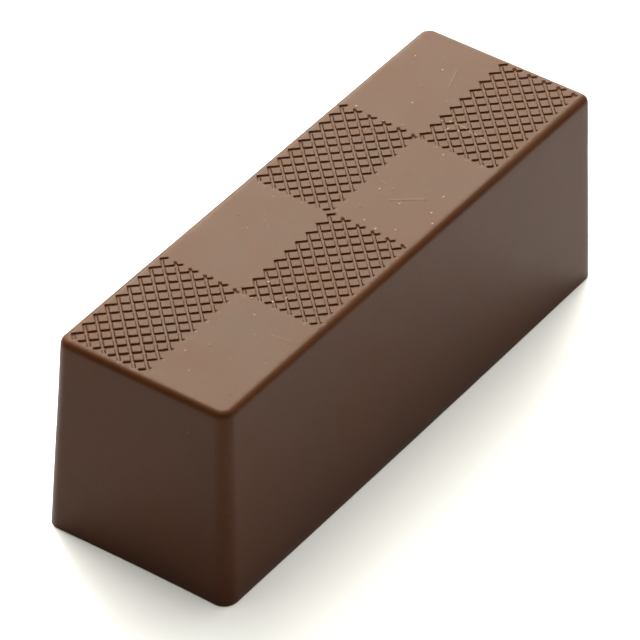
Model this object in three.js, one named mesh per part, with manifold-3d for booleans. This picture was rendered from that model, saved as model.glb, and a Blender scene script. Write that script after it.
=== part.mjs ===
// Moulded filled chocolate: a drafted bar with a chequered relief on its top.
// Millimetres, +Z up. The origin is the centre of the base, on the surface the chocolate stands on.
// +X runs along the bar's length, +Y across it.
import * as THREE from 'three';
import { mergeVertices } from 'three/addons/utils/BufferGeometryUtils.js';
import Module from 'manifold-3d';

const wasm = await Module();
wasm.setup();

// ---- driving dimensions ----
const HEIGHT = 14.75;
const BASE_LENGTH = 41.0;
const BASE_WIDTH = 14.0;
const TOP_LENGTH = 39.8;            // where the drafted ends would meet the top, before its edge is rounded
const TOP_WIDTH = 12.7;             // the same across
const BASE_CORNER_R = 1.0;          // upright edges, at the base
const TOP_CORNER_R = 0.7;           // upright edges, at the top
const TOP_EDGE_R = 0.55;            // rounding between the top and the walls

const WALL = 1.6;                   // shell walls, level with the base
const TOP_WALL = 2.0;               // shell under the top face
const CAP_THICKNESS = 1.8;          // closing layer
const CAVITY_CORNER_R = 1.2;
const CAVITY_EDGE_R = 0.7;
const SEAM = 0.1;                   // all round the filling and the closing layer

// relief: four stamped fields of crossed grooves, in the places of the dark squares of a 2 x 4 chequer
const GROOVE_PITCH = 0.8;           // across the grooves, which run at 45 degrees to the bar
const GROOVE_WIDTH = 0.25;          // at the top face; the section is a plain V
const GROOVE_DEPTHS = [0.128, 0.112]; // of the grooves that run along (1, -1) and along (1, 1)
const CELL = GROOVE_PITCH * Math.SQRT2;         // crossing to crossing along X or Y
const FIELD_PITCH_X = 9.65;
const FIELD_PITCH_Y = 5.83;
const FIRST_CROSSING_X = -18.96;    // outermost crossing of the field at the -X end, in the +Y row
const FIRST_CROSSING_Y = 5.945;
const FIELD_MIN_X = -0.3 * CELL;   // field limits, from that crossing
const FIELD_MAX_X = 8.15 * CELL;
const FIELD_MAX_Y = 0.1 * CELL;
const FIELD_MIN_Y = -5.15 * CELL;
const FIELD_ROWS = [0, 1, 0, 1];    // row of the grooved field in each column, 0 = +Y row

const CHOCOLATE = new THREE.MeshStandardMaterial({ color: 0x8d725e, roughness: 0.42, metalness: 0 });
const CHOCOLATE_CAP = new THREE.MeshStandardMaterial({ color: 0x6f5342, roughness: 0.5, metalness: 0 });
const GANACHE = new THREE.MeshStandardMaterial({ color: 0x7a5233, roughness: 0.6, metalness: 0 });

// ---- helpers ----
function toManifold(geometry) {
  const g = geometry.clone();
  g.deleteAttribute('normal');
  g.deleteAttribute('uv');
  const merged = mergeVertices(g, 1e-5);
  return new wasm.Manifold(new wasm.Mesh({
    numProp: 3,
    vertProperties: new Float32Array(merged.attributes.position.array),
    triVerts: new Uint32Array(merged.index.array),
  }));
}

function toGeometry(solid) {
  const mesh = solid.getMesh();
  const g = new THREE.BufferGeometry();
  g.setAttribute('position', new THREE.BufferAttribute(Float32Array.from(mesh.vertProperties), 3));
  g.setIndex(new THREE.BufferAttribute(Uint32Array.from(mesh.triVerts), 1));
  g.computeVertexNormals();
  return g;
}

function roundedRectangle(length, width, r) {
  const x = length / 2, y = width / 2;
  const s = new THREE.Shape();
  s.moveTo(x, -y + r);
  s.lineTo(x, y - r);
  s.absarc(x - r, y - r, r, 0, Math.PI / 2, false);
  s.lineTo(-x + r, y);
  s.absarc(-x + r, y - r, r, Math.PI / 2, Math.PI, false);
  s.lineTo(-x, -y + r);
  s.absarc(-x + r, -y + r, r, Math.PI, 1.5 * Math.PI, false);
  s.lineTo(x - r, -y);
  s.absarc(x - r, -y + r, r, 1.5 * Math.PI, 2 * Math.PI, false);
  return s;
}

// A block whose outline follows a list of stations from bottom to top, each { z, length, width, r }.
function stationedBlock(stations, arcSegments) {
  const base = stations[0];
  const steps = stations.length - 1;
  const g = new THREE.ExtrudeGeometry(roundedRectangle(base.length, base.width, base.r), {
    depth: steps, steps, bevelEnabled: false, curveSegments: arcSegments,
  });
  const p = g.attributes.position;
  const coreX = base.length / 2 - base.r, coreY = base.width / 2 - base.r;
  for (let k = 0; k < p.count; k += 1) {
    const x = p.getX(k), y = p.getY(k);
    const sx = Math.sign(x), sy = Math.sign(y);
    const nx = (x - sx * coreX) / base.r, ny = (y - sy * coreY) / base.r;
    const to = stations[Math.round(p.getZ(k))];
    p.setXYZ(
      k,
      sx * (to.length / 2 - to.r) + to.r * nx,
      sy * (to.width / 2 - to.r) + to.r * ny,
      to.z,
    );
  }
  return g;
}

// Stations of a drafted block with a rounded top edge.
function draftedStations({ z0, z1, length0, width0, length1, width1, r0, r1, edge, edgeSteps }) {
  const at = (z) => {
    const t = (z - z0) / (z1 - z0);
    return {
      length: length0 + (length1 - length0) * t,
      width: width0 + (width1 - width0) * t,
      r: r0 + (r1 - r0) * t,
    };
  };
  const stations = [{ z: z0, ...at(z0) }];
  for (let k = 0; k <= edgeSteps; k += 1) {
    const a = (Math.PI / 2) * (k / edgeSteps);
    const z = z1 - edge + edge * Math.sin(a);
    const inset = edge * (1 - Math.cos(a));
    const s = at(z);
    stations.push({ z, length: s.length - 2 * inset, width: s.width - 2 * inset, r: Math.max(s.r - inset, 0.15) });
  }
  return stations;
}

// ---- shell ----
const outer = toManifold(stationedBlock(draftedStations({
  z0: 0, z1: HEIGHT, length0: BASE_LENGTH, width0: BASE_WIDTH, length1: TOP_LENGTH, width1: TOP_WIDTH,
  r0: BASE_CORNER_R, r1: TOP_CORNER_R, edge: TOP_EDGE_R, edgeSteps: 4,
}), 6));

const cavityAt = (z, grow) => {
  const t = z / HEIGHT;
  return {
    length: BASE_LENGTH + (TOP_LENGTH - BASE_LENGTH) * t - 2 * WALL + 2 * grow,
    width: BASE_WIDTH + (TOP_WIDTH - BASE_WIDTH) * t - 2 * WALL + 2 * grow,
  };
};
function cavityBlock(z0, z1, grow, edge) {
  const a = cavityAt(z0, grow), b = cavityAt(z1, grow);
  if (edge > 0) {
    return stationedBlock(draftedStations({
      z0, z1, length0: a.length, width0: a.width, length1: b.length, width1: b.width,
      r0: CAVITY_CORNER_R + grow, r1: CAVITY_CORNER_R + grow, edge, edgeSteps: 3,
    }), 5);
  }
  return stationedBlock([
    { z: z0, length: a.length, width: a.width, r: CAVITY_CORNER_R + grow },
    { z: z1, length: b.length, width: b.width, r: CAVITY_CORNER_R + grow },
  ], 5);
}
const CAVITY_TOP = HEIGHT - TOP_WALL;
const cavity = toManifold(cavityBlock(-1, CAVITY_TOP, 0, CAVITY_EDGE_R));

// One field: both sets of grooves, cut off square at the field's limits.
function grooveBar(length, depth) {
  const rise = 0.2;
  const flare = (GROOVE_WIDTH / 2) * (rise / depth);
  const s = new THREE.Shape();
  s.moveTo(0, -depth);
  s.lineTo(GROOVE_WIDTH / 2 + flare, rise);
  s.lineTo(-GROOVE_WIDTH / 2 - flare, rise);
  s.closePath();
  const g = new THREE.ExtrudeGeometry(s, { depth: length, steps: 1, bevelEnabled: false });
  g.translate(0, 0, -length / 2);
  g.rotateX(Math.PI / 2);           // section upright, bar along Y
  return g;
}

function fieldCutter(x0, y0) {
  const cx = x0 + (FIELD_MIN_X + FIELD_MAX_X) / 2, cy = y0 + (FIELD_MIN_Y + FIELD_MAX_Y) / 2;
  const lx = FIELD_MAX_X - FIELD_MIN_X, ly = FIELD_MAX_Y - FIELD_MIN_Y;
  const reach = (lx + ly) / (2 * Math.SQRT2);
  const bars = [];
  [Math.PI / 4, -Math.PI / 4].forEach((turn, family) => {
    const across = new THREE.Vector3(Math.cos(turn), Math.sin(turn), 0);
    const first = (cx - x0) * across.x + (cy - y0) * across.y;
    const from = Math.ceil((first - reach) / GROOVE_PITCH), to = Math.floor((first + reach) / GROOVE_PITCH);
    for (let n = from; n <= to; n += 1) {
      const g = grooveBar(2 * reach + 4, GROOVE_DEPTHS[family]);
      g.rotateZ(turn);
      const off = n * GROOVE_PITCH - first;
      g.translate(cx + across.x * off, cy + across.y * off, HEIGHT);
      bars.push(toManifold(g));
    }
  });
  const box = new THREE.BoxGeometry(lx, ly, 1);
  box.translate(cx, cy, HEIGHT);
  return wasm.Manifold.union(bars).intersect(toManifold(box));
}

let shell = outer.subtract(cavity);
FIELD_ROWS.forEach((row, column) => {
  shell = shell.subtract(fieldCutter(
    FIRST_CROSSING_X + column * FIELD_PITCH_X,
    FIRST_CROSSING_Y - row * FIELD_PITCH_Y,
  ));
});
// where two fields meet, crossing grooves can cut a crumb loose: only the shell itself is kept
shell = shell.decompose().sort((a, b) => b.volume() - a.volume())[0];

const group = new THREE.Group();
group.name = 'moulded_praline';

const shellMesh = new THREE.Mesh(toGeometry(shell), CHOCOLATE);
shellMesh.name = 'moulded_shell';
group.add(shellMesh);

// ---- filling: fills the cavity above the closing layer ----
const filling = new THREE.Mesh(
  toGeometry(toManifold(cavityBlock(CAP_THICKNESS, CAVITY_TOP, -SEAM, CAVITY_EDGE_R - SEAM))),
  GANACHE,
);
filling.name = 'filling';
group.add(filling);

// ---- closing layer: scraped flush with the shell's rim ----
const cap = new THREE.Mesh(toGeometry(toManifold(cavityBlock(0, CAP_THICKNESS, -SEAM, 0))), CHOCOLATE_CAP);
cap.name = 'base_cap';
group.add(cap);

export default group;
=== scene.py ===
import bpy
import math
import numpy as np
from mathutils import Matrix, Vector, noise
from mathutils.geometry import delaunay_2d_cdt


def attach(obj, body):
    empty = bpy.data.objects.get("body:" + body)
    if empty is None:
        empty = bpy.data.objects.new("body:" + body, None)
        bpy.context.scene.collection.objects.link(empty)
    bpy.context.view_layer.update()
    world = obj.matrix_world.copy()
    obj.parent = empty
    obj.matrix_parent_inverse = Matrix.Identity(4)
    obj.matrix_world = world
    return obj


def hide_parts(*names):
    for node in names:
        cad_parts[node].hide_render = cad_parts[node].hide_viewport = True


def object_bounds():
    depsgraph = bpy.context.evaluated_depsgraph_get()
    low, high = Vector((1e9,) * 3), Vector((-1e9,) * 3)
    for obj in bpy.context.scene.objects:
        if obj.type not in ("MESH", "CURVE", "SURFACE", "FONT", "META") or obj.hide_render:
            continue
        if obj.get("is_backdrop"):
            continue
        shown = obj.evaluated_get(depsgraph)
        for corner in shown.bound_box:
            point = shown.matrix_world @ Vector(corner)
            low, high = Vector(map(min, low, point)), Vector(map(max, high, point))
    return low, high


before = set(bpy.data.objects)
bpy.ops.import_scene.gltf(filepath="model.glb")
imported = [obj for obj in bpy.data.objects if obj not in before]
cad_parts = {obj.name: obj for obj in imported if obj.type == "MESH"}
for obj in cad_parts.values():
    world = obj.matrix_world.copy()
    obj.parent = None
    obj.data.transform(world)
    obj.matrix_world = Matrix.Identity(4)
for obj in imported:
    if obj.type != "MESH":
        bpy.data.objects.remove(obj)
CAD_LOW, CAD_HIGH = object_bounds()
MM = 0.001

# ---------------------------------------------------------------------------------------------
# Dimensions, in millimetres. The outline is the CAD shell's; the details below are finer.
# ---------------------------------------------------------------------------------------------
H = round((CAD_HIGH.z - CAD_LOW.z) * 1000, 4) - 0.03      # the moulded top sits a hair low
A0, B0 = 20.485, 6.955                    # half length and half width at the base
A1, B1 = 19.885, 6.355                    # the same where the walls would meet the top
# radius of each upright edge, in the order (+X +Y), (-X +Y), (-X -Y), (+X -Y)
R0 = np.array([0.93, 0.93, 1.00, 0.93])
R1 = np.array([0.76, 0.87, 0.90, 0.58])
RT = 0.47                                 # rounding of the top edge
BOW_SIDE, BOW_END = 0.07, -0.08           # the long walls swell, the ends draw in, at the base
RIM = 0.07                                # rounding of the bottom rim
PITCH = 0.8
CELL = PITCH * math.sqrt(2)
X0, Y0 = -18.955, 5.945                   # first crossing of the first grooved field
FIELD_DX, FIELD_DY = 9.651, 5.829
SHIFT_U, SHIFT_W = -0.03, 0.10            # from the measured dark walls to the middle of each groove
SHIFT = ((SHIFT_U + SHIFT_W) / math.sqrt(2), (SHIFT_U - SHIFT_W) / math.sqrt(2))
FX0, FX1, FY0, FY1 = -0.42, 9.45, -5.86, 0.14       # box that holds all of a field's grooves
# where the middle line of a groove ends, (low X, high X, low Y, high Y): each end is cut square
HALF = 0.085
ENDS_U = (-0.40, 8 * CELL + 0.33, -5 * CELL - 0.165, HALF)
ENDS_W = (-0.40, 8 * CELL + 0.24, -5 * CELL - HALF, HALF)
FIELD_ROWS = (0, 1, 0, 1)
FLOOR_HALF, MOUTH_HALF, DEPTH = 0.080, 0.120, 0.093
WALL, TOP_WALL, CAP_H, SEAM = 1.6, 2.0, 1.8, 0.1
CAV_R, CAV_EDGE = 1.2, 0.7
EDGE_STOP = math.radians(42)              # where the top's triangle mesh takes over from the walls' rings


def rng(seed):
    return np.random.default_rng(seed)


def smooth01(t):
    t = np.clip(t, 0.0, 1.0)
    return t * t * (3 - 2 * t)


def vnoise(x, y, z, scale, seed=0.0):
    """Smooth noise in -1..1 at points given in mm."""
    out = np.empty(len(x))
    for k in range(len(x)):
        out[k] = noise.noise(Vector((x[k] / scale + seed, y[k] / scale + 1.7 * seed, z[k] / scale - seed)))
    return out


CORNERS = ((1, 1, 0), (-1, 1, 90), (-1, -1, 180), (1, -1, 270))


def ring(A, B, r, nx, ny, nc):
    """Points of a rounded rectangle, counter-clockwise, with nx and ny steps on the sides and nc on each corner."""
    r = np.broadcast_to(np.asarray(r, float), (4,))

    def at(k, deg):
        sx, sy, _ = CORNERS[k]
        t = math.radians(deg)
        return np.array([sx * (A - r[k]) + r[k] * math.cos(t), sy * (B - r[k]) + r[k] * math.sin(t)])
    pts = []
    for k in range(4):
        a0 = CORNERS[k][2]
        start, end = at(k - 1, a0), at(k, a0)
        n = ny if k % 2 == 0 else nx
        for j in range(n):
            pts.append(start + (end - start) * (j / n))
        for j in range(nc):
            pts.append(at(k, a0 + 90 * j / nc))
    return np.array(pts)


def outline_distance(x, y, A, B, r):
    """Signed distance to a rounded rectangle, negative inside."""
    r = np.broadcast_to(np.asarray(r, float), (4,))
    r = np.where(x > 0, np.where(y > 0, r[0], r[3]), np.where(y > 0, r[1], r[2]))
    qx, qy = np.abs(x) - (A - r), np.abs(y) - (B - r)
    return np.hypot(np.maximum(qx, 0), np.maximum(qy, 0)) + np.minimum(np.maximum(qx, qy), 0) - r


DRAFT = 0.5 * ((A0 - A1) + (B0 - B1)) / H


def edge_at(a):
    """(offset inwards from the sharp top outline, drop below the top) at angle a up the rounded edge."""
    return RT * (1 - math.cos(a)) - DRAFT * RT * (1 - math.sin(a)), RT * (1 - math.sin(a))


# ---------------------------------------------------------------------------------------------
# The relief: depth of the grooves at a point of the top
# ---------------------------------------------------------------------------------------------
FIELDS = [(X0 + SHIFT[0] + c * FIELD_DX, Y0 + SHIFT[1] - r * FIELD_DY) for c, r in enumerate(FIELD_ROWS)]


def groove_depth(x, y):
    depth = np.zeros(len(x))
    wob = vnoise(x, y, np.zeros(len(x)), 0.55, 3.1)          # walls are never quite straight
    wob2 = vnoise(x, y, np.zeros(len(x)), 0.23, 9.4)
    slow = vnoise(x, y, np.zeros(len(x)), 2.6, 5.0)
    for fx, fy in FIELDS:
        lx, ly = x - fx, y - fy
        m = (lx > FX0 - 0.2) & (lx < FX1 + 0.2) & (ly > FY0 - 0.2) & (ly < FY1 + 0.2)
        if not m.any():
            continue
        u = (lx[m] + ly[m]) / math.sqrt(2)
        w = (lx[m] - ly[m]) / math.sqrt(2)
        g = np.zeros(m.sum())
        half = MOUTH_HALF * (1 + 0.09 * wob[m] + 0.06 * wob2[m] + 0.04 * slow[m])
        for c, other, sign, ends, dep in ((u, w, 1, ENDS_U, 1.0), (w, u, -1, ENDS_W, 1.08)):
            line = np.round(c / PITCH) * PITCH
            cx, cy = (line + other) / math.sqrt(2), sign * (line - other) / math.sqrt(2)
            # distance still to go along the groove to its nearest end
            run = math.sqrt(2) * np.minimum(np.minimum(cx - ends[0], ends[1] - cx),
                                            np.minimum(cy - ends[2], ends[3] - cy))
            t = c - line
            # one wall of the second set of grooves is a little gentler than the rest
            wall = np.where((sign < 0) & (t < 0), 0.050, MOUTH_HALF - FLOOR_HALF)
            k = smooth01((half - np.abs(t)) / wall)
            if sign > 0:                                     # only a faint dot beyond the last crossing
                k = k * (1 - 0.45 * smooth01((-5 * CELL - 0.02 - cy) / 0.04))
            k = k * smooth01((run + 0.012 * wob2[m]) / 0.035)
            g = np.maximum(g, DEPTH * dep * (1 + 0.10 * slow[m]) * k)
        depth[m] = np.maximum(depth[m], g)
    return depth


def top_height(x, y):
    inset = -outline_distance(x, y, A1, B1, R1)
    aa = np.linspace(EDGE_STOP * 0.9, math.pi / 2, 60)
    table = [edge_at(a) for a in aa]
    ti, td = np.array([t[0] for t in table]), np.array([t[1] for t in table])
    drop = np.interp(inset, ti, td)
    return H - drop


# ---------------------------------------------------------------------------------------------
# Shell: top as a constrained triangulation that follows the grooves, walls and cavity as rings
# ---------------------------------------------------------------------------------------------
NX, NY, NC = 84, 28, 9


def boundary_ring(a):
    i, drop = edge_at(a)
    return ring(A1 - i, B1 - i, np.maximum(R1 - i, 0.08), NX, NY, NC), H - drop


def marks_list():
    """Crumbs, dust and fine scratches on the top: (x, y, radius, height, tone), in mm."""
    out = []
    g = rng(23)
    # crumbs seen in the relief, then single specks on the smooth fields
    for x, y, r, h in CRUMBS:
        out.append((x, y, 1.15 * r, h, 1.0))
    for x0, y0, x1, y1, r, tone in SCRATCHES:
        n = max(2, int(math.hypot(x1 - x0, y1 - y0) / (1.5 * r)))
        for k in range(n + 1):
            t = k / n
            out.append((x0 + (x1 - x0) * t + g.normal(0, 0.012), y0 + (y1 - y0) * t + g.normal(0, 0.012),
                        r * g.uniform(0.6, 1.1), 0.006, tone * g.uniform(0.4, 1.0)))
    for _ in range(46):
        x, y = g.uniform(-A1 + 0.8, A1 - 0.8), g.uniform(-B1 + 0.8, B1 - 0.8)
        out.append((x, y, g.uniform(0.022, 0.045), g.uniform(0.004, 0.016), g.uniform(0.2, 0.7) * g.choice([1, 1, -1])))
    return out


CRUMBS = [(-7.73, -0.76, 0.075, 0.045), (-9.69, -0.88, 0.060, 0.035), (-9.17, -2.09, 0.080, 0.045),
          (-8.34, -2.56, 0.060, 0.035), (12.03, -0.16, 0.065, 0.040), (11.48, -1.00, 0.080, 0.045),
          (12.20, -0.74, 0.060, 0.035), (11.81, -1.62, 0.060, 0.035), (12.08, -2.35, 0.050, 0.030),
          (10.04, 5.06, 0.055, 0.030), (0.38, -3.14, 0.050, 0.020), (3.76, -5.04, 0.050, 0.020),
          (5.54, -4.74, 0.045, 0.018), (3.84, -1.04, 0.045, 0.018), (3.33, -2.91, 0.045, 0.018),
          (0.71, -2.07, 0.040, 0.015), (9.09, -2.31, 0.040, 0.015), (1.03, -4.20, 0.040, 0.015),
          (-10.91, -1.99, 0.040, 0.015), (-16.16, -0.60, 0.040, 0.015), (16.46, 2.78, 0.045, 0.018),
          (12.42, 2.35, 0.045, 0.018), (2.90, -5.70, 0.045, 0.015), (16.67, 5.04, 0.040, 0.012)]
SCRATCHES = [(12.40, -0.84, 11.86, -3.81, 0.028, 0.9), (-11.86, -3.94, -11.76, -5.21, 0.022, 0.35),
             (3.3, -2.2, 4.6, -3.9, 0.018, 0.30), (-3.6, 2.1, -2.2, 3.4, 0.018, 0.22),
             (15.2, 1.4, 17.1, 2.0, 0.018, 0.22)]
MARKS = marks_list()


def mark_fields(x, y):
    """Height and tone that the marks add at points of the top."""
    h, tone = np.zeros(len(x)), np.zeros(len(x))
    for mx, my, mr, mh, mt in MARKS:
        near = np.where((np.abs(x - mx) < 2.2 * mr) & (np.abs(y - my) < 2.2 * mr))[0]
        if len(near):
            k = 1 - smooth01((np.hypot(x[near] - mx, y[near] - my) / mr - 0.45) / 0.9)
            h[near] = np.maximum(h[near], mh * k)
            stronger = np.abs(mt) * k > np.abs(tone[near])
            tone[near] = np.where(stronger, mt * k, tone[near])
    return h, tone


def top_points():
    pts = []
    # grooved fields: rows of points that follow both sets of grooves
    across = [0.0, 0.05, 0.078, 0.092, 0.105, 0.120, 0.142]
    lines = sorted(set(across + [PITCH - t for t in across[1:]] + [0.22, 0.31, 0.40, 0.49, 0.58]))
    for fx, fy in FIELDS:
        us = []
        for n in range(-12, 26):
            us += [n * PITCH + t for t in lines]
        us = np.array(us)
        U, W = np.meshgrid(us, us)
        lx, ly = (U + W).ravel() / math.sqrt(2), (U - W).ravel() / math.sqrt(2)
        e = np.minimum(np.minimum(lx - FX0, FX1 - lx), np.minimum(ly - FY0, FY1 - ly))
        m = e > -0.03
        pts.append(np.stack([lx[m] + fx, ly[m] + fy], 1))
    fields = np.concatenate(pts)
    # smooth fields and margins: an even, slightly shaken grid
    g = rng(11)
    step = 0.22
    gx, gy = np.meshgrid(np.arange(-A1, A1, step), np.arange(-B1, B1, step))
    grid = np.stack([gx.ravel(), gy.ravel()], 1) + g.uniform(-0.3, 0.3, (gx.size, 2)) * step
    # rounded edge: loops of points between the walls' rings and the flat
    loops = [boundary_ring(a)[0] for a in np.linspace(EDGE_STOP, math.pi / 2, 7)[1:]]
    loops = np.concatenate(loops)
    inset = -outline_distance(grid[:, 0], grid[:, 1], A1, B1, R1)
    grid = grid[inset > edge_at(math.pi / 2)[0] + 0.10]
    others = np.concatenate([loops, grid])
    keep = np.ones(len(others), bool)
    for fx, fy in FIELDS:
        lx, ly = others[:, 0] - fx, others[:, 1] - fy
        e = np.minimum(np.minimum(lx - FX0, FX1 - lx), np.minimum(ly - FY0, FY1 - ly))
        keep &= e < -0.08
    others = others[keep]
    limit = edge_at(EDGE_STOP)[0]
    # small marks get points of their own, and nothing else close to them
    marks = []
    for mx, my, mr, _, _ in MARKS:
        others = others[np.hypot(others[:, 0] - mx, others[:, 1] - my) > 1.9 * mr]
        fields = fields[np.hypot(fields[:, 0] - mx, fields[:, 1] - my) > 0.35 * mr]
        marks.append((mx, my))
        for k, q in ((6, 0.5), (10, 1.0), (12, 1.6)):
            for j in range(k):
                t = 2 * math.pi * (j + 0.5 * (k % 4 == 0)) / k
                marks.append((mx + mr * q * math.cos(t), my + mr * q * math.sin(t)))
    allp = np.concatenate([fields, others, np.array(marks)])
    inset = -outline_distance(allp[:, 0], allp[:, 1], A1, B1, R1)
    allp = allp[inset > limit + 0.02]
    # no two points closer than the mesh needs
    key = np.round(allp / 0.012).astype(np.int64)
    _, first = np.unique(key, axis=0, return_index=True)
    return allp[np.sort(first)]


def bow(x, y, z):
    """The walls' slow swell, strongest at the base."""
    t = np.clip(1 - z / H, 0, 1)
    A, B = A1 + (A0 - A1) * t, B1 + (B0 - B1) * t
    fy = np.clip(1 - (x / A) ** 2, 0, 1) * np.clip(np.abs(y) / B, 0, 1) ** 6
    fx = np.clip(1 - (y / B) ** 2, 0, 1) * np.clip(np.abs(x) / A, 0, 1) ** 12
    return x + np.sign(x) * BOW_END * t * fx, y + np.sign(y) * BOW_SIDE * t * fy


# how far each upright edge stands out from the even block, (dx, dy) at the base and at the top
PUSH = {(-1, 1): ((-0.06, 0.08), (-0.07, 0.09)), (1, -1): ((0.03, -0.03), (0.075, -0.06)),
        (1, 1): ((0.02, 0.05), (0.03, 0.05)), (-1, -1): ((0.0, 0.0), (0.0, 0.0))}


def push(x, y, z):
    t = np.clip(z / H, 0, 1)
    A, B = A0 + (A1 - A0) * t, B0 + (B1 - B0) * t
    u, v = np.clip((x / A + 1) / 2, 0, 1), np.clip((y / B + 1) / 2, 0, 1)
    dx, dy = np.zeros(len(x)), np.zeros(len(x))
    for (sx, sy), (low, high) in PUSH.items():
        w = (u if sx > 0 else 1 - u) * (v if sy > 0 else 1 - v)
        dx += w * (low[0] + (high[0] - low[0]) * t)
        dy += w * (low[1] + (high[1] - low[1]) * t)
    return x + dx * np.clip(np.abs(x) / A, 0, 1) ** 6, y + dy * np.clip(np.abs(y) / B, 0, 1) ** 6


def make_shell():
    rings = []                       # outside, from the bottom rim up
    base_in = ring(A0 - RIM, B0 - RIM, R0 - RIM, NX, NY, NC)
    rings.append((base_in, 0.0))
    for a in (30, 60, 90):
        a = math.radians(a)
        rings.append((ring(A0 - RIM * (1 - math.sin(a)), B0 - RIM * (1 - math.sin(a)),
                           R0 - RIM * (1 - math.sin(a)), NX, NY, NC), RIM * (1 - math.cos(a))))
    wall_top = H - RT
    zs = np.linspace(RIM, wall_top, 30)[1:]
    for z in zs:
        t = (wall_top - z) / (wall_top - RIM)
        Aw, Bw, Rw = A1 + DRAFT * RT, B1 + DRAFT * RT, R1 + 0.0
        rings.append((ring(Aw + (A0 - Aw) * t, Bw + (B0 - Bw) * t, Rw + (R0 - Rw) * t, NX, NY, NC), z))
    for a in np.linspace(0, EDGE_STOP, 6)[1:]:
        p, z = boundary_ring(a)
        rings.append((p, z))
    n = len(rings[0][0])
    # cavity, from the rim up to its ceiling
    inner = []
    cav_top = H - TOP_WALL

    def cav(z, grow=0.0):
        t = z / H
        return (A0 + 0.015 + (19.9 - A0 - 0.015) * t - WALL + grow, B0 + 0.045 + (6.35 - B0 - 0.045) * t - WALL + grow)
    for z in np.concatenate([[0.0, 0.05], np.linspace(0.6, cav_top - CAV_EDGE, 8)]):
        a, b = cav(z, 0.05 if z == 0 else 0.0)
        inner.append((ring(a, b, CAV_R, NX, NY, NC), z))
    for a_ in np.linspace(0, math.pi / 2, 5)[1:]:
        z = cav_top - CAV_EDGE + CAV_EDGE * math.sin(a_)
        i = CAV_EDGE * (1 - math.cos(a_))
        a, b = cav(z)
        inner.append((ring(a - i, b - i, max(CAV_R - i, 0.15), NX, NY, NC), z))

    V, F = [], []
    for p, z in rings:
        V.append(np.column_stack([p, np.full(n, z)]))
    base_inner = len(rings) * n
    for p, z in inner:
        V.append(np.column_stack([p, np.full(n, z)]))
    for k in range(len(rings) - 1):
        a, b = k * n, (k + 1) * n
        for j in range(n):
            j2 = (j + 1) % n
            F.append((a + j, a + j2, b + j2, b + j))
    for k in range(len(inner) - 1):
        a, b = base_inner + k * n, base_inner + (k + 1) * n
        for j in range(n):
            j2 = (j + 1) % n
            F.append((a + j, b + j, b + j2, a + j2))
    for j in range(n):               # the rim's flat
        j2 = (j + 1) % n
        F.append((base_inner + j, base_inner + j2, j2, j))
    ceiling = base_inner + (len(inner) - 1) * n
    # ceiling of the cavity: a plain grid of quads would not meet the ring, so it is triangulated too
    last = inner[-1][0]
    V = np.concatenate(V)

    def fill(loop_pts, loop_ids, extra, z_of, flip):
        pts2 = [Vector(p) for p in loop_pts] + [Vector(p) for p in extra]
        out_v, _, out_f, ids, _, _ = delaunay_2d_cdt(pts2, [], [list(range(len(loop_pts)))], 1, 1e-6)
        m = len(loop_pts)
        where = []
        new = []
        nonlocal_base = len(V_all[0])
        for k, v in enumerate(out_v):
            src = [s for s in ids[k] if s < m]
            if src:
                where.append(int(loop_ids[src[0]]))
            else:
                where.append(nonlocal_base + len(new))
                new.append((v.x, v.y))
        new = np.array(new).reshape(-1, 2)
        zz = z_of(new[:, 0], new[:, 1]) if len(new) else np.zeros(0)
        V_all[0] = np.concatenate([V_all[0], np.column_stack([new, zz])])
        for f in out_f:
            f = [where[i] for i in f]
            F.append(tuple(reversed(f)) if flip else tuple(f))
        return nonlocal_base, nonlocal_base + len(new)

    V_all = [V]
    lim = np.array([[x, y] for x in np.linspace(-17.5, 17.5, 30) for y in np.linspace(-3.8, 3.8, 8)])
    fill(last, np.arange(ceiling, ceiling + n), lim, lambda x, y: np.full(len(x), cav_top), True)
    top_ring = rings[-1][0]
    top_id = (len(rings) - 1) * n
    t0, t1 = fill(top_ring, np.arange(top_id, top_id + n), top_points(), top_height, False)
    V = V_all[0]

    # bow the outside walls, then give every outside surface its fine unevenness
    outside = np.zeros(len(V), bool)
    outside[:len(rings) * n] = True
    x, y = bow(V[outside, 0], V[outside, 1], V[outside, 2])
    V[outside, 0], V[outside, 1] = x, y
    moved = outside.copy()
    moved[t0:t1] = True
    x, y = push(V[moved, 0], V[moved, 1], V[moved, 2])
    V[moved, 0], V[moved, 1] = x, y
    return V, F, (t0, t1), outside, n


def add_mesh(name, V, F, smooth=True):
    me = bpy.data.meshes.new(name)
    me.from_pydata([tuple(float(c) * MM for c in v) for v in V], [], F)
    me.validate()
    me.update()
    ob = bpy.data.objects.new(name, me)
    bpy.context.scene.collection.objects.link(ob)
    if smooth:
        me.polygons.foreach_set("use_smooth", [True] * len(me.polygons))
    return ob


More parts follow.
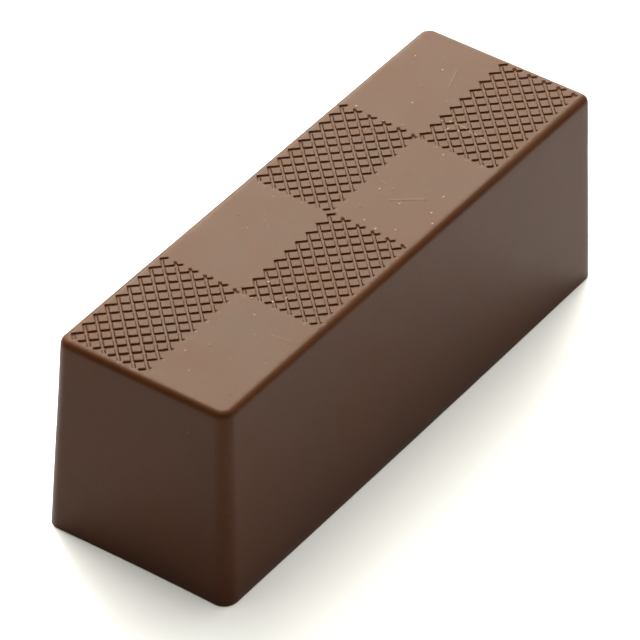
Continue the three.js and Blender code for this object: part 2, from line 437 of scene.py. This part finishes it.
def build_shell():
    V, F, (t0, t1), outside, n = make_shell()
    top = np.zeros(len(V), bool)
    top[t0:t1] = True
    x, y, z = V[top, 0], V[top, 1], V[top, 2]
    dep = groove_depth(x, y)
    # cast surface: a slow wave and a finer grain, a few microns deep
    wave = 0.010 * vnoise(x, y, z, 6.0, 1.0) + 0.004 * vnoise(x, y, z, 1.1, 2.0) + 0.0015 * vnoise(x, y, z, 0.35, 4.0)
    lift, tone = mark_fields(x, y)
    V[top, 2] = z - dep + wave + lift
    o = outside.copy()
    zz = V[o, 2]
    w = 0.012 * vnoise(V[o, 0], V[o, 1], zz, 7.0, 6.0) + 0.004 * vnoise(V[o, 0], V[o, 1], zz, 1.6, 7.0)
    w *= smooth01(zz / 0.6) * smooth01((H - 0.05 - zz) / 0.4)
    c = V[o]
    ny_ = np.clip((np.abs(c[:, 1]) - (B1 - 0.6)) / 0.6, 0, 1)
    nx_ = np.clip((np.abs(c[:, 0]) - (A1 - 0.6)) / 0.6, 0, 1)
    V[o, 0] += np.sign(c[:, 0]) * nx_ * w
    V[o, 1] += np.sign(c[:, 1]) * ny_ * w
    ob = add_mesh("shell_chocolate", V, F)
    me = ob.data
    att = me.attributes.new("relief", "FLOAT", "POINT")
    val = np.zeros(len(V), np.float32)
    val[top] = (dep / DEPTH).astype(np.float32)
    att.data.foreach_set("value", val)
    att = me.attributes.new("speck", "FLOAT", "POINT")
    val = np.zeros(len(V), np.float32)
    val[top] = tone.astype(np.float32)
    att.data.foreach_set("value", val)
    return ob


def rounded_block(name, z0, z1, grow, edge, nx=60, ny=20, nc=8, rows=10):
    def half(z):
        t = z / H
        return (A0 + 0.015 + (19.9 - A0 - 0.015) * t - WALL + grow, B0 + 0.045 + (6.35 - B0 - 0.045) * t - WALL + grow)
    R = CAV_R + grow
    rings = []
    low = 0.06
    a, b = half(z0)
    for t in (0.0, 45.0, 90.0):
        t = math.radians(t)
        i = low * (1 - math.sin(t))
        rings.append((ring(a - i, b - i, R - i, nx, ny, nc), z0 + low * (1 - math.cos(t))))
    for z in np.linspace(z0 + low, z1 - edge, rows)[1:]:
        a, b = half(z)
        rings.append((ring(a, b, R, nx, ny, nc), z))
    for t in np.linspace(0, math.pi / 2, 5)[1:]:
        z = z1 - edge + edge * math.sin(t)
        i = edge * (1 - math.cos(t))
        a, b = half(z)
        rings.append((ring(a - i, b - i, max(R - i, 0.1), nx, ny, nc), z))
    n = len(rings[0][0])
    V = np.concatenate([np.column_stack([p, np.full(n, z)]) for p, z in rings])
    F = []
    for k in range(len(rings) - 1):
        a, b = k * n, (k + 1) * n
        for j in range(n):
            j2 = (j + 1) % n
            F.append((a + j, a + j2, b + j2, b + j))
    for which, flip in ((0, True), (len(rings) - 1, False)):
        loop, z = rings[which]
        gx, gy = np.meshgrid(np.arange(-18.2, 18.21, 0.35), np.arange(-4.9, 4.91, 0.14))
        g = np.stack([gx.ravel(), gy.ravel()], 1)
        A, B = loop[:, 0].max(), loop[:, 1].max()
        g = g[(np.abs(g[:, 0]) < A - 0.25) & (np.abs(g[:, 1]) < B - 0.25)]
        out_v, _, out_f, ids, _, _ = delaunay_2d_cdt([Vector(p) for p in loop] + [Vector(p) for p in g], [],
                                                     [list(range(n))], 1, 1e-6)
        where, new = [], []
        for k, v in enumerate(out_v):
            src = [s for s in ids[k] if s < n]
            if src:
                where.append(which * n + src[0])
            else:
                where.append(len(V) + len(new))
                new.append((v.x, v.y, z))
        V = np.concatenate([V, np.array(new)])
        for f in out_f:
            f = [where[i] for i in f]
            F.append(tuple(reversed(f)) if flip else tuple(f))
    return V, F


# ---------------------------------------------------------------------------------------------
# Materials
# ---------------------------------------------------------------------------------------------
def new_material(name):
    m = bpy.data.materials.new(name)
    m.use_nodes = True
    nt = m.node_tree
    nt.nodes.clear()
    out = nt.nodes.new("ShaderNodeOutputMaterial")
    b = nt.nodes.new("ShaderNodeBsdfPrincipled")
    nt.links.new(b.outputs[0], out.inputs[0])
    return m, nt, b


def node(nt, kind, **values):
    nd = nt.nodes.new(kind)
    for k, v in values.items():
        if k in nd.inputs:
            nd.inputs[k].default_value = v
        else:
            setattr(nd, k, v)
    return nd


def chocolate(name, base, rough=0.40, ior_level=0.080, marks=False, drag=False, sss=0.0):
    """Moulded chocolate: cloudy colour, fine grain and a low, slightly uneven gloss."""
    m, nt, b = new_material(name)
    L = nt.links
    tc = nt.nodes.new("ShaderNodeTexCoord")
    cloud = node(nt, "ShaderNodeTexNoise", Scale=260.0, Detail=5.0, Roughness=0.6)
    large = node(nt, "ShaderNodeTexNoise", Scale=75.0, Detail=2.0, Roughness=0.5)
    fine = node(nt, "ShaderNodeTexNoise", Scale=2600.0, Detail=3.0, Roughness=0.6)
    for t in (cloud, large, fine):
        L.new(tc.outputs["Object"], t.inputs["Vector"])
    if drag:                         # the scraper is drawn along the bar
        mp = nt.nodes.new("ShaderNodeMapping")
        mp.inputs["Scale"].default_value = (0.06, 1.0, 1.0)
        L.new(tc.outputs["Object"], mp.inputs["Vector"])
        L.new(mp.outputs[0], cloud.inputs["Vector"])
        L.new(mp.outputs[0], fine.inputs["Vector"])
    # colour: a slow drift between a redder and a greyer brown, then light and dark clouds
    warm = tuple(base[k] * (1.03, 0.97, 0.92)[k] for k in range(3))
    cool = tuple(base[k] * (0.97, 1.03, 1.10)[k] for k in range(3))
    drift = node(nt, "ShaderNodeMixRGB", blend_type="MIX")
    drift.inputs[1].default_value = (*warm, 1)
    drift.inputs[2].default_value = (*cool, 1)
    r1 = nt.nodes.new("ShaderNodeMapRange")
    r1.inputs["From Min"].default_value, r1.inputs["From Max"].default_value = 0.36, 0.64
    L.new(large.outputs["Fac"], r1.inputs["Value"])
    L.new(r1.outputs[0], drift.inputs[0])
    r2 = nt.nodes.new("ShaderNodeMapRange")
    r2.inputs["From Min"].default_value, r2.inputs["From Max"].default_value = 0.3, 0.7
    r2.inputs["To Min"].default_value, r2.inputs["To Max"].default_value = 0.90, 1.10
    L.new(cloud.outputs["Fac"], r2.inputs["Value"])
    r3 = nt.nodes.new("ShaderNodeMapRange")
    r3.inputs["From Min"].default_value, r3.inputs["From Max"].default_value = 0.3, 0.7
    r3.inputs["To Min"].default_value, r3.inputs["To Max"].default_value = 0.94, 1.06
    L.new(fine.outputs["Fac"], r3.inputs["Value"])
    mul = node(nt, "ShaderNodeMath", operation="MULTIPLY")
    L.new(r2.outputs[0], mul.inputs[0])
    L.new(r3.outputs[0], mul.inputs[1])
    tint = nt.nodes.new("ShaderNodeVectorMath")
    tint.operation = "SCALE"
    L.new(drift.outputs[0], tint.inputs[0])
    L.new(mul.outputs[0], tint.inputs["Scale"])
    colour = tint.outputs[0]
    if marks:                        # crumbs and dust are paler, nicks darker
        at = nt.nodes.new("ShaderNodeAttribute")
        at.attribute_name = "speck"
        up = node(nt, "ShaderNodeMixRGB", blend_type="MIX")
        up.inputs[2].default_value = (0.28, 0.195, 0.14, 1)
        lo = nt.nodes.new("ShaderNodeMapRange")
        L.new(at.outputs["Fac"], lo.inputs["Value"])
        L.new(lo.outputs[0], up.inputs[0])
        L.new(colour, up.inputs[1])
        down = node(nt, "ShaderNodeMixRGB", blend_type="MIX")
        down.inputs[2].default_value = (base[0] * 0.35, base[1] * 0.3, base[2] * 0.3, 1)
        hi = nt.nodes.new("ShaderNodeMapRange")
        hi.inputs["From Min"].default_value, hi.inputs["From Max"].default_value = 0.0, -1.0
        L.new(at.outputs["Fac"], hi.inputs["Value"])
        L.new(hi.outputs[0], down.inputs[0])
        L.new(up.outputs[0], down.inputs[1])
        colour = down.outputs[0]
    cells = nt.nodes.new("ShaderNodeTexVoronoi")
    cells.inputs["Scale"].default_value = 800.0
    L.new(tc.outputs["Object"], cells.inputs["Vector"])
    near = nt.nodes.new("ShaderNodeMapRange")
    near.inputs["From Min"].default_value, near.inputs["From Max"].default_value = 0.065, 0.03
    L.new(cells.outputs["Distance"], near.inputs["Value"])
    pick = nt.nodes.new("ShaderNodeSeparateColor")
    L.new(cells.outputs["Color"], pick.inputs[0])
    some = nt.nodes.new("ShaderNodeMapRange")
    some.inputs["From Min"].default_value, some.inputs["From Max"].default_value = 0.80, 1.0
    some.inputs["To Max"].default_value = 0.5
    L.new(pick.outputs[0], some.inputs["Value"])
    dust = node(nt, "ShaderNodeMath", operation="MULTIPLY")
    L.new(near.outputs[0], dust.inputs[0])
    L.new(some.outputs[0], dust.inputs[1])
    over = node(nt, "ShaderNodeMixRGB", blend_type="MIX")
    over.inputs[2].default_value = (0.12, 0.075, 0.045, 1)
    L.new(dust.outputs[0], over.inputs[0])
    L.new(colour, over.inputs[1])
    colour = over.outputs[0]
    L.new(colour, b.inputs["Base Color"])
    rr = nt.nodes.new("ShaderNodeMapRange")
    rr.inputs["From Min"].default_value, rr.inputs["From Max"].default_value = 0.3, 0.7
    rr.inputs["To Min"].default_value, rr.inputs["To Max"].default_value = rough - 0.035, rough + 0.035
    L.new(cloud.outputs["Fac"], rr.inputs["Value"])
    L.new(rr.outputs[0], b.inputs["Roughness"])
    bump = node(nt, "ShaderNodeBump", Strength=0.25 if drag else 0.10, Distance=0.00003)
    L.new(fine.outputs["Fac"], bump.inputs["Height"])
    bump2 = node(nt, "ShaderNodeBump", Strength=0.25, Distance=0.00002)
    L.new(cloud.outputs["Fac"], bump2.inputs["Height"])
    L.new(bump.outputs[0], bump2.inputs["Normal"])
    L.new(bump2.outputs[0], b.inputs["Normal"])
    b.inputs["IOR"].default_value = 1.45
    b.inputs["Specular IOR Level"].default_value = ior_level
    b.inputs["Subsurface Weight"].default_value = sss
    b.inputs["Subsurface Radius"].default_value = (1.0, 0.35, 0.12)
    b.inputs["Subsurface Scale"].default_value = 0.0005
    return m


SHELL_ALBEDO = (0.0425, 0.0139, 0.0045)
shell = build_shell()
m_shell = chocolate("mat_shell", SHELL_ALBEDO, marks=True)
shell.data.materials.append(m_shell)
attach(shell, "root")
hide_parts("moulded_shell")

V, F = rounded_block("filling", CAP_H, H - TOP_WALL, -SEAM, CAV_EDGE - SEAM)
fill_ob = add_mesh("filling_ganache", V, F)
fill_ob.data.materials.append(chocolate("mat_ganache", (0.062, 0.021, 0.007), 0.62, 0.08))
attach(fill_ob, "root")
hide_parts("filling")

V, F = rounded_block("cap", 0.0, CAP_H, -0.035, 0.08, rows=4)
low = V[:, 2] < 0.5 * CAP_H              # the scraper leaves long shallow ridges and a slight dish
inner = smooth01((5.2 - np.abs(V[:, 1])) / 1.2) * smooth01((18.6 - np.abs(V[:, 0])) / 1.2)
ridge = vnoise(V[:, 0] * 0.08, V[:, 1], V[:, 2] * 0, 0.9, 12.0) + 0.6 * vnoise(V[:, 0] * 0.15, V[:, 1], V[:, 2] * 0, 0.4, 14.0)
V[:, 2] += np.where(low & (V[:, 2] < 0.02), inner * (0.035 + 0.022 * ridge).clip(0.0, 0.09), 0)
cap_ob = add_mesh("base_layer_chocolate", V, F)
cap_ob.data.materials.append(chocolate("mat_base_layer", tuple(0.92 * c for c in SHELL_ALBEDO), 0.5, 0.09, drag=True))
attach(cap_ob, "root")
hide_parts("base_cap")

# ---------------------------------------------------------------------------------------------
# Camera: measured from the object's outline and relief
# ---------------------------------------------------------------------------------------------
cam_data = bpy.data.cameras.new("camera")
cam_data.sensor_width = 36.0
cam_data.lens = 321.06
cam = bpy.data.objects.new("camera", cam_data)
R_ = Vector((0.57664008, -0.81689002, 0.01330063))
U_ = Vector((0.51216463, 0.3741234, 0.77312294))
B_ = Vector((-0.63653249, -0.43900157, 0.63411672))
rot = Matrix((R_, U_, B_)).transposed()
cam.matrix_world = Matrix.Translation(Vector((-0.23042686, -0.15824377, 0.23534813))) @ rot.to_4x4()
cam_data.clip_start, cam_data.clip_end = 0.01, 20.0
bpy.context.scene.collection.objects.link(cam)
bpy.context.scene.camera = cam

# ---------------------------------------------------------------------------------------------
# Studio: pale floor, soft light from behind and above, weak fills
# ---------------------------------------------------------------------------------------------
me = bpy.data.meshes.new("floor")
s = 1.2
me.from_pydata([(-s, -s, 0), (s, -s, 0), (s, s, 0), (-s, s, 0)], [], [(0, 1, 2, 3)])
floor = bpy.data.objects.new("floor", me)
bpy.context.scene.collection.objects.link(floor)
mf, nt, b = new_material("floor_paper")
b.inputs["Base Color"].default_value = (0.82, 0.87, 0.98, 1)
b.inputs["Roughness"].default_value = 0.9
b.inputs["Specular IOR Level"].default_value = 0.0
me.materials.append(mf)
floor.location.z = -0.00002
floor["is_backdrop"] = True


WARM = (1.0, 0.93, 0.76)


def area(name, direction, distance, size, power, color=(1, 1, 1), size_y=None):
    d = Vector(direction).normalized()
    li = bpy.data.lights.new(name, "AREA")
    li.shape = "RECTANGLE"
    li.size, li.size_y = size, size_y or size
    li.energy = power
    li.color = color
    ob = bpy.data.objects.new(name, li)
    ob.location = d * distance
    ob.rotation_mode = "QUATERNION"
    ob.rotation_quaternion = d.to_track_quat("Z", "Y")
    bpy.context.scene.collection.objects.link(ob)
    return ob


area("back", (0.6365, 0.439, 0.634), 0.6, 0.45, 8.86, WARM)
area("back_left", (0.35, 0.72, 0.60), 0.6, 0.45, 5.59, WARM)
area("back_right", (0.85, -0.25, 0.46), 0.6, 0.45, 1.33, WARM)
area("back_low", (0.78, 0.54, 0.30), 0.6, 0.35, 1.52, WARM)
area("right", (0.15, -0.92, 0.36), 0.6, 0.45, 0.60, WARM)
area("overhead", (0, 0, 1), 0.6, 0.6, 3.79, WARM)

world = bpy.data.worlds.new("studio")
bpy.context.scene.world = world
world.use_nodes = True
bg = world.node_tree.nodes.get("Background") or world.node_tree.nodes.new("ShaderNodeBackground")
if not any(n.type == "OUTPUT_WORLD" for n in world.node_tree.nodes):
    ow = world.node_tree.nodes.new("ShaderNodeOutputWorld")
    world.node_tree.links.new(bg.outputs[0], ow.inputs[0])
bg.inputs[0].default_value = (1, 1, 1, 1)
bg.inputs[1].default_value = 0.01
bpy.context.scene.view_settings.view_transform = "Standard"

low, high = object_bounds()
